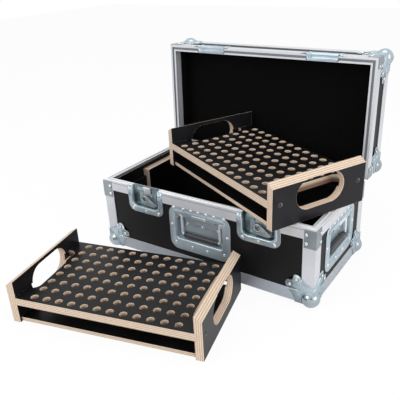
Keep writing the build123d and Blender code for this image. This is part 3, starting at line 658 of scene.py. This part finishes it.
# section: share of the height, and depth in the wall; fold: depth, and how far above the lower edge
cover = {"half": 74.5, "top": 151.5, "low": 137.2, "corner": 9, "columns": 89,
         "section": [(0, 1.0), (0, -1.15), (0.06, -1.4), (0.5, -1.4), (0.92, -1.4), (1, -1.15), (1, 1.0)],
         "wave": 1.1, "waveHalf": 24, "waveEnd": 66, "notchFrom": 46.5, "notchRun": 1.8, "notchRise": 5.2,
         "fold": [(0.6, 0.6), (0.2, -1.0), (2.2, -1.4)]}
tab = {"size": (41, 9, 2.2), "middle": (2, 142.5), "rise": [(0, -1.0), (0.2, -2.6), (0.8, -3.2), (2.0, -3.3)],
       "shadeX": (-17.5, 21.5), "shadeZ": (138.2, 136.9), "shadeDepth": -1.55}
louvre = {"along": (-17, -10, 10, 17), "middle": 112, "half": 1.9, "halfHeight": 0.9, "proud": 1.3}


def coverPlate(place, name):
    # plate across the top of the recess with a wavy lower edge, and a pressed tab in its middle
    half, corner = cover["half"], cover["corner"]
    edges = []
    for i in range(cover["columns"]):
        x = -half + 2 * half * i / (cover["columns"] - 1)
        over = max(0, abs(x) - (half - corner))
        high = cover["top"] - corner + math.sqrt(max(0, corner ** 2 - over ** 2))
        fading = max(0, 1 - abs(x) / cover["waveEnd"])
        wave = cover["wave"] * math.cos(x * math.pi / cover["waveHalf"]) * fading
        notch = min(1, max(0, (abs(x) - cover["notchFrom"]) / cover["notchRun"]))  # room for the bail's arms
        low = min(cover["low"] - wave * (1 - notch) + notch * cover["notchRise"], high)
        edges.append((x, low, high))
    shell = Shell(place)
    shell.loft([[(x, depth, low + (high - low) * share) for x, low, high in edges]
                for share, depth in cover["section"]], closed=False)
    shell.piece(name, "case", "zinc_steel", smooth=22)
    width, height, corner = tab["size"]
    rings = []
    for inset, depth in tab["rise"]:
        outline = roundedRect(width - 2 * inset, height - 2 * inset, corner - inset / 2, tab["middle"])
        rings.append([(x, depth, z) for x, z in outline])
    pressed = Shell(place)
    pressed.loft(rings, endCap=True)
    # the tab takes the bright finish: a painted highlight
    pressed.piece(name + "_tab", "case", "bright_steel", smooth=22)
    # dark strips painted as the shade under the cover's folded edges and its tab, and as the shade in the
    # louvres on the recess floor
    shade = Shell(place)
    shade.loft([[(x, depth, low + above) for x, low, high in edges] for depth, above in cover["fold"]],
               closed=False)
    shade.loft([[(x, tab["shadeDepth"], z) for x in tab["shadeX"]] for z in tab["shadeZ"]], closed=False)
    for along in louvre["along"]:
        shade.loft([[(along + x, handle["floor"] - louvre["proud"], louvre["middle"] + z)
                     for x in (-louvre["half"], louvre["half"])]
                    for z in (-louvre["halfHeight"], louvre["halfHeight"])], closed=False)
    shade.piece(name + "_folds", "case", "zinc_steel", finish="shadowSteel")


def dishLining(place, name):
    # black box over the back of the dish, inside the case
    shell = Shell(place)
    shell.loft([insetRing(handle["recess"], -grow, depth, handle["recessMiddle"])
                for grow, depth in handle["lining"]], endCap=True)
    shell.piece(name, "case", "laminated_plywood")


def handleBail(place, side):
    inwards, low, pivot, arm = bail["inwards"], bail["gripZ"], bail["pivot"], bail["armX"]
    half = [(arm, inwards, low), (arm, inwards, pivot), (bail["endX"], inwards, pivot)]
    rod = Shell(place)
    tube(rod, filletPath([(-x, y, z) for x, y, z in reversed(half)] + half, bail["bends"]), bail["rod"])
    body = side + "_handle"
    rod.piece("handle_bail_" + side + "_rod", body, "bright_steel", ["handle_bail_" + side], "rodSteel")
    ends = [(along - grip["half"], size) for along, size in grip["end"]]
    for start in grip["grooves"]:
        ends += [(start + along - grip["half"], size) for along, size in grip["groove"]]
    waistHalf = grip["half"] - grip["waistFrom"]
    waist = []
    for share in (step / grip["waistSteps"] for step in range(1, grip["waistSteps"])):
        drawnIn = grip["waistDepth"] * math.sin(math.pi * share) ** 2
        waist.append((waistHalf * (2 * share - 1), grip["radius"] - drawnIn))
    profile = ends + waist + [(-along, size) for along, size in reversed(ends)]
    moulded = Shell(place)
    lathe(moulded, (0, inwards, low), (1, 0, 0), profile, 26)
    moulded.piece("handle_grip_" + side + "_moulded", body, "grip_rubber", ["handle_grip_" + side])


for side, place in (("front", onFront), ("right", onRight), ("left", onLeft)):
    handleDish(place, side)
    coverPlate(place, "handle_cover_" + side)
    dishLining(place, "handle_lining_" + side)
    handleBail(place, side)

spring = {"diameter": 10, "wire": 0.72, "trim": 0.75, "pitch": 1.75, "leastTurns": 3, "pointsPerTurn": 12}
springs = Shell(asDrawn)
for low, high in islands("handle_springs"):
    middle, span = (low + high) / 2, high - low
    axis = 0 if abs(span[0] - spring["diameter"]) >= abs(span[1] - spring["diameter"]) else 1
    length, radius = span[axis] - 2 * spring["trim"], span[2] / 2 - spring["trim"]
    count = max(spring["leastTurns"], int(span[axis] / spring["pitch"])) * spring["pointsPerTurn"]
    path = []
    for step in range(count + 1):
        angle = 2 * math.pi * step / spring["pointsPerTurn"]
        spot = Vector(middle)
        spot[axis] += length * (step / count - 0.5)
        spot[1 - axis] += radius * math.cos(angle)
        spot[2] += radius * math.sin(angle)
        path.append(spot)
    tube(springs, path, spring["wire"], 6)
springs.piece("handle_springs_wound", "case", "bright_steel", ["handle_springs"])

print("setting the rivets")
# dome: share of the height, and share of the radius
rivet = {"dome": [(0, 0), (0, 1), (0.25, 1), (0.5, 0.95), (0.75, 0.8), (0.92, 0.58), (1, 0.34),
                  (0.86, 0.26), (0.8, 0.1), (0.8, 0)],
         "grow": 1.28, "dimple": (1.2, 0.9), "dimpleLift": 0.06}
# rivets on a recess floor lie within these bounds, and stand this much lower
inner = {"x": 290, "y": 140, "low": 120, "high": 134, "drop": 17}
raised = {"x": 230, "low": 165}  # where rivets stand on the raised part of a latch dish
lowFaces = 100  # below this, a rivet that points up or down points down


def rivetHeads(node, name, body, place, undo=None):
    shell, shadowRings = Shell(place), Shell(place)
    for low, high in islands(node, undo):
        middle, span = (low + high) / 2, high - low
        axis = min(range(3), key=lambda k: span[k])
        out = Vector((0, 0, 0))
        out[axis] = 1 if middle[axis] > (lowFaces if axis == 2 else 0) else -1
        size, height = max(span) / 2 * rivet["grow"], span[axis]
        foot = middle - out * height / 2
        if abs(foot[0]) < inner["x"] and abs(foot[1]) < inner["y"] and inner["low"] < foot[2] < inner["high"]:
            foot[2] -= inner["drop"]
        if body == "case" and out[1] < 0 and foot[2] > raised["low"] and abs(foot[0]) < raised["x"]:
            foot += out * latch["stepRise"]
        side = out.orthogonal().normalized()
        # a dark ring of painted shadow round each rivet's foot
        shadowRings.loft([circle(foot + out * rivet["dimpleLift"], side, out.cross(side), size * reach, 16)
                      for reach in rivet["dimple"]], endCap=True)
        lathe(shell, foot, out, [(height * up, size * across) for up, across in rivet["dome"]], 16)
    shell.piece(name, body, "zinc_steel", [node], "bright_steel")
    shadowRings.piece(name + "_dimples", body, "zinc_steel", finish="shadowSteel")


rivetHeads("base_rivets", "base_rivets_domed", "case", asDrawn)
rivetHeads("lid_rivets", "lid_rivets_domed", "lid", inLid, lidSwing.inverted())

print("pressing the ball corners")
ball = {"radius": 21.5, "inset": 11, "steps": 26, "turns": 44, "cutAt": 0.5,
        "plate": 1.5, "leg": 30, "under": 0.3, "swell": 0.35, "swellEnd": 0.8, "drop": 1.7,
        "lobe": (57.5, 41.5), "lobeRadius": 11.5, "lobeArc": (-35, 126, 10),
        "edge": [(44.5, -1.5), (44.7, 1), (47.2, 8), (50.6, 15), (54.6, 21.6), (59.8, 28.4)],
        "stepLines": (-0.4, 0.5, 1.6), "foot": [(17.2, -3.4), (17.9, -2.5), (18.9, -2.0), (20.2, -1.55)],
        "footStart": -38, "footSweep": 166, "footSteps": 30,
        "foldRun": (35, 45, 55, 66.5), "fold": [(-0.9, 0.35), (-0.5, 0.8), (0.5, 0.8), (0.9, 0.35)]}


def flangeOutline():
    far, near = ball["lobe"]
    angles = [math.radians(a) for a in range(*ball["lobeArc"])]
    half = ball["edge"] + [(far + ball["lobeRadius"] * math.cos(a), near + ball["lobeRadius"] * math.sin(a))
                           for a in angles]
    return [(-ball["plate"], -ball["plate"])] + half + [(v, u) for u, v in reversed(half)]


def flangeDepth(past):
    # the plate swells where it bends over the edge of the profile's leg, then drops onto the wall
    if past < 0:
        return ball["under"] - ball["plate"]
    return (-ball["swell"] if past < ball["swellEnd"] else ball["drop"]) - ball["plate"]


def ballFlange(flanges, spun):
    plate = bmesh.new()
    plate.faces.new([plate.verts.new((u, v, 0)) for u, v in flangeOutline()])
    for line in ball["stepLines"]:
        for across in ((1, 0, 0), (0, 1, 0)):
            bmesh.ops.bisect_plane(plate, geom=plate.verts[:] + plate.edges[:] + plate.faces[:],
                                   plane_co=Vector(across) * (ball["leg"] + line), plane_no=across)
    placed = {}
    for vertex in plate.verts:
        u, v = vertex.co[0], vertex.co[1]
        placed[vertex] = flanges.ring([spun(flangeDepth(min(u, v) - ball["leg"]), u, v)])[0]
    for face in plate.faces:
        flanges.mesh.faces.new([placed[v] for v in face.verts])
    plate.free()
    # the plate's cut edge, from the ball out to the lobes
    low, high = (flanges.ring([spun(depth, u, v) for u, v in flangeOutline()])
                 for depth in (ball["drop"] - ball["plate"], -ball["plate"]))
    count = len(low)
    for i in range(1, len(ball["edge"])):
        flanges.mesh.faces.new((low[i], low[i + 1], high[i + 1], high[i]))
        flanges.mesh.faces.new((low[count - i - 1], low[count - i], high[count - i], high[count - i - 1]))
    # rolled foot round the ball
    angles = [math.radians(ball["footStart"] + ball["footSweep"] * k / ball["footSteps"])
              for k in range(ball["footSteps"] + 1)]
    flanges.loft([[spun(depth, ball["inset"] + size * math.cos(a), ball["inset"] + size * math.sin(a))
                   for a in angles] for size, depth in ball["foot"]], closed=False)


def ballCorner(flanges, folds, balls):
    # the case fills x, y and z above nought, and the shells' place sets the corner down
    for flat in range(3):
        def spun(depth, u, v, flat=flat):
            spot = [0, 0, 0]
            spot[flat], spot[(flat + 1) % 3], spot[(flat + 2) % 3] = depth, u, v
            return spot

        ballFlange(flanges, spun)
        if flat < 2:
            # painted highlight: a bright strip along the fold where the plate bends over the profile's leg
            rows = []
            for side, rise in ball["fold"]:
                across = ball["leg"] + side
                rows.append([spun(-ball["plate"] - rise, *((across, reach) if flat else (reach, across)))
                             for reach in ball["foldRun"]])
            folds.loft(rows, closed=False)
    rows = []
    for i in range(1, ball["steps"]):
        tilt = math.pi * i / ball["steps"]
        wide, down = ball["radius"] * math.sin(tilt), ball["inset"] - ball["radius"] * math.cos(tilt)
        row = []
        for k in range(ball["turns"]):
            turn = 2 * math.pi * k / ball["turns"]
            spot = (ball["inset"] + wide * math.cos(turn), ball["inset"] + wide * math.sin(turn), down)
            row.append(balls.ring([spot])[0] if min(spot) < ball["cutAt"] else None)
        rows.append(row)
    for above, below in zip(rows, rows[1:]):
        for k in range(ball["turns"]):
            beside = (k + 1) % ball["turns"]
            corners = (above[k], above[beside], below[beside], below[k])
            if None not in corners:
                balls.mesh.faces.new(corners)
    balls.mesh.faces.new(rows[0])


for whose, body, foot, upward, swing in (("base", "case", case["foot"], 1, asDrawn),
                                         ("lid", "lid", case["lidTop"], -1, inLid)):
    flanges, folds, balls = Shell(asDrawn), Shell(asDrawn), Shell(asDrawn)
    for sideX in (-1, 1):
        for sideY in (-1, 1):
            def place(x, y, z, sideX=sideX, sideY=sideY):
                return swing(sideX * (case["halfLength"] - x), sideY * (case["halfDepth"] - y),
                             foot + upward * z)
            flanges.place = folds.place = balls.place = place
            ballCorner(flanges, folds, balls)
    name = whose + "_ball_corners"
    flanges.piece(name + "_flanges", body, "zinc_steel", [name], smooth=9, thick=0.3)
    # the fold strips take the bright finish: a painted highlight
    folds.piece(name + "_folds", body, "zinc_steel", finish="bright_steel")
    balls.piece(name + "_balls", body, "zinc_steel", finish="ballSteel")

print("driving the tray screws")
screw = [(-2.6, 0), (-2.6, 3.0), (-0.5, 4.75), (0.25, 4.75), (0.4, 4.25), (0.1, 2.4), (-1.8, 1.9), (-1.8, 0)]
for which, stand in trays.items():
    heads = Shell(asDrawn)
    for low, high in islands(which + "_tray_screws"):
        middle = (low + high) / 2
        reach = (middle - stand["origin"]).dot(stand["along"])
        way = 1 if reach > 0 else -1
        face = middle + stand["along"] * (way * tray["halfLength"] - reach)
        lathe(heads, face, stand["along"] * way, screw)
    heads.piece(which + "_tray_screws_countersunk", which + "_tray", "screw_steel", [which + "_tray_screws"])

print("lining the lid")
# pairs: how far in from the sides, and how far from the upper or the lower face
sheet = {"corner": 3, "upper": [(0.2, 0), (0, -1.5)], "lower": [(0, 3.0), (0.35, 1.2), (1.2, 0.35), (3, 0)]}
lining = Shell(inLid)
for low, high in islands("lid_foam_lining", lidSwing.inverted()):
    middle, span = (low + high) / 2, high - low
    levels = [(inset, high[2] + z) for inset, z in sheet["upper"]]
    levels += [(inset, low[2] + z) for inset, z in sheet["lower"]]
    rings = []
    for inset, z in levels:
        outline = roundedRect(span[0] - 2 * inset, span[1] - 2 * inset, sheet["corner"], middle[:2], 5)
        rings.append([(x, y, z) for x, y in outline])
    lining.loft(rings, startCap=True, endCap=True)
lining.piece("lid_foam_lining_sheets", "lid", "lining_foam", ["lid_foam_lining"])

print("finishing the sawn and rolled parts")
softened = {"laminated_plywood": 0.5, "aluminium_profile": 0.55, "tray_plywood": 0.5, "zinc_steel": 0.35,
            "bright_steel": 0.4, "end": 1.1, "deck": 0.2}
ownFinish = {"base_rim": "baseRimProfile", "base_bottom_angles": "lowerProfile",
             "lid_rim": "lidRimProfile", "lid_top_angles": "lidProfile",
             "base_corner_angles": "uprightProfile", "lid_corner_angles": "uprightProfile",
             "base_rim_braces": "darkPlate", "lid_rim_braces": "darkPlate", "inner_side_board": "sideBoard"}


def stockOf(name):
    if "_tray_" in name:
        return "tray_plywood"
    if name.endswith(("_panel", "side_board")):
        return "laminated_plywood"
    if name.endswith(("_rim", "_angles")):
        return "aluminium_profile"
    if name in ("handle_ears", "hinge_pins") or "latch_hook" in name:
        return "bright_steel"
    return "zinc_steel"


for name, node in nodes.items():
    if node.hide_render:
        continue
    stock = stockOf(name)
    chosen, width = ownFinish.get(name, stock), softened[stock]
    if stock == "tray_plywood":
        which, board = name.split("_")[0], name.split("_")[-1]
        chosen = which + ("Ends" if board == "end" else "Boards")
        width = softened.get(board, width)
    node.data.materials.clear()
    node.data.materials.append(finishes[chosen])
    weld = node.modifiers.new("weld", "WELD")
    weld.merge_threshold = 2 * hair
    edge = node.modifiers.new("edge", "BEVEL")
    edge.width = width * mm
    edge.segments = 2
    edge.limit_method = "ANGLE"
    edge.angle_limit = math.radians(35)
    edge.harden_normals = True

print("setting the studio")
studio = {"floorLevel": -0.0126, "floorHalf": 6, "paper": (0.93, 0.93, 0.93, 1), "worldLight": 0.85,
          "paperRays": {"Is Camera Ray": 0.93, "Is Glossy Ray": 0.3, "Is Transmission Ray": 1},
          "airRays": {"Is Camera Ray": 1, "Is Glossy Ray": 1, "Is Transmission Ray": 1}}
card = {"low": 0.75, "high": 1.75, "from": (0.9, -2.9), "to": (2.0, -2.2), "tone": (0.03, 0.03, 0.035, 1)}
lamps = {"top box": {"place": (0.2, -0.2, 2.3), "aim": (0, 0, 0.1), "size": (1.6, 1.6), "power": 16},
         "front box": {"place": (-0.9, -2.3, 1.5), "aim": (0, 0, 0.1), "size": (1.1, 1.3), "power": 15},
         "right box": {"place": (2.2, -0.4, 1.0), "aim": (0, 0, 0.2), "size": (1.4, 1.6), "power": 14}}


def lookedAt(owner, output, lit, white, rays):
    # the white shader takes over where rays of these kinds look
    made = Wiring(owner)
    made.tree.nodes.clear()
    seen = sum(made.add("ShaderNodeLightPath", {}, {}, kind) * share for kind, share in rays.items())
    made.add(output, {}, {0: made.add("ShaderNodeMixShader", {}, {0: seen.clipped(), 1: made.add(*lit),
                                                                 2: made.add(*white)})})


def flatSheet(name, corners, material):
    data = bpy.data.meshes.new(name)
    data.from_pydata(corners, [], [range(len(corners))])
    data.materials.append(material)
    thing = bpy.data.objects.new(name, data)
    bpy.context.scene.collection.objects.link(thing)
    return thing


paper = bpy.data.materials.new("studio paper")
lookedAt(paper, "ShaderNodeOutputMaterial", ("ShaderNodeBsdfDiffuse", {}, {"Color": studio["paper"]}),
         ("ShaderNodeEmission", {}, {}), studio["paperRays"])
flatSheet("studio_floor", [(x * studio["floorHalf"], y * studio["floorHalf"], studio["floorLevel"])
                           for x, y in ((-1, -1), (1, -1), (1, 1), (-1, 1))], paper)
world = bpy.data.worlds.new("studio air")
bpy.context.scene.world = world
lookedAt(world, "ShaderNodeOutputWorld", ("ShaderNodeBackground", {}, {"Strength": studio["worldLight"]}),
         ("ShaderNodeBackground", {}, {"Color": (1, 1, 1, 1)}), studio["airRays"])

# a dark card towards the lens, seen only in the metal
cardBoard = bpy.data.materials.new("studio card")
cardBoard.use_nodes = True
cardBoard.node_tree.nodes["Principled BSDF"].inputs["Base Color"].default_value = card["tone"]
cardHolder = flatSheet("studio_card", [(*card["from"], card["low"]), (*card["to"], card["low"]),
                                       (*card["to"], card["high"]), (*card["from"], card["high"])], cardBoard)
cardHolder.visible_camera = cardHolder.visible_diffuse = cardHolder.visible_shadow = False

for name, box in lamps.items():
    lamp = bpy.data.lights.new(name, "AREA")
    lamp.shape = "RECTANGLE"
    lamp.size, lamp.size_y = box["size"]
    lamp.energy = box["power"]
    holder = bpy.data.objects.new(name, lamp)
    holder.location = box["place"]
    holder.rotation_euler = (Vector(box["aim"]) - Vector(box["place"])).to_track_quat("-Z", "Y").to_euler()
    bpy.context.scene.collection.objects.link(holder)

view = {"place": (0.6602, -1.0667, 0.7198), "azimuth": 34.14, "elevation": 24.93, "roll": -2.63,
        "lens": 47.73, "sensor": 36, "shift": (-0.02625, -0.004), "clipStart": 0.01}
azimuth, elevation, roll = (math.radians(view[k]) for k in ("azimuth", "elevation", "roll"))
back = Vector((math.sin(azimuth) * math.cos(elevation), -math.cos(azimuth) * math.cos(elevation),
               math.sin(elevation)))
rightward = (-back).cross(Vector((0, 0, 1))).normalized()
upward = rightward.cross(-back)
axisX = rightward * math.cos(roll) + upward * math.sin(roll)
axisY = upward * math.cos(roll) - rightward * math.sin(roll)
lens = bpy.data.cameras.new("photo camera")
lens.lens = view["lens"]
lens.sensor_width = view["sensor"]
lens.shift_x, lens.shift_y = view["shift"]
lens.clip_start = view["clipStart"]
camera = bpy.data.objects.new("photo camera", lens)
camera.matrix_world = (Matrix.Translation(Vector(view["place"]))
                       @ Matrix((axisX, axisY, back)).transposed().to_4x4())
bpy.context.scene.collection.objects.link(camera)
bpy.context.scene.camera = camera
bpy.context.scene.view_settings.view_transform = "Standard"
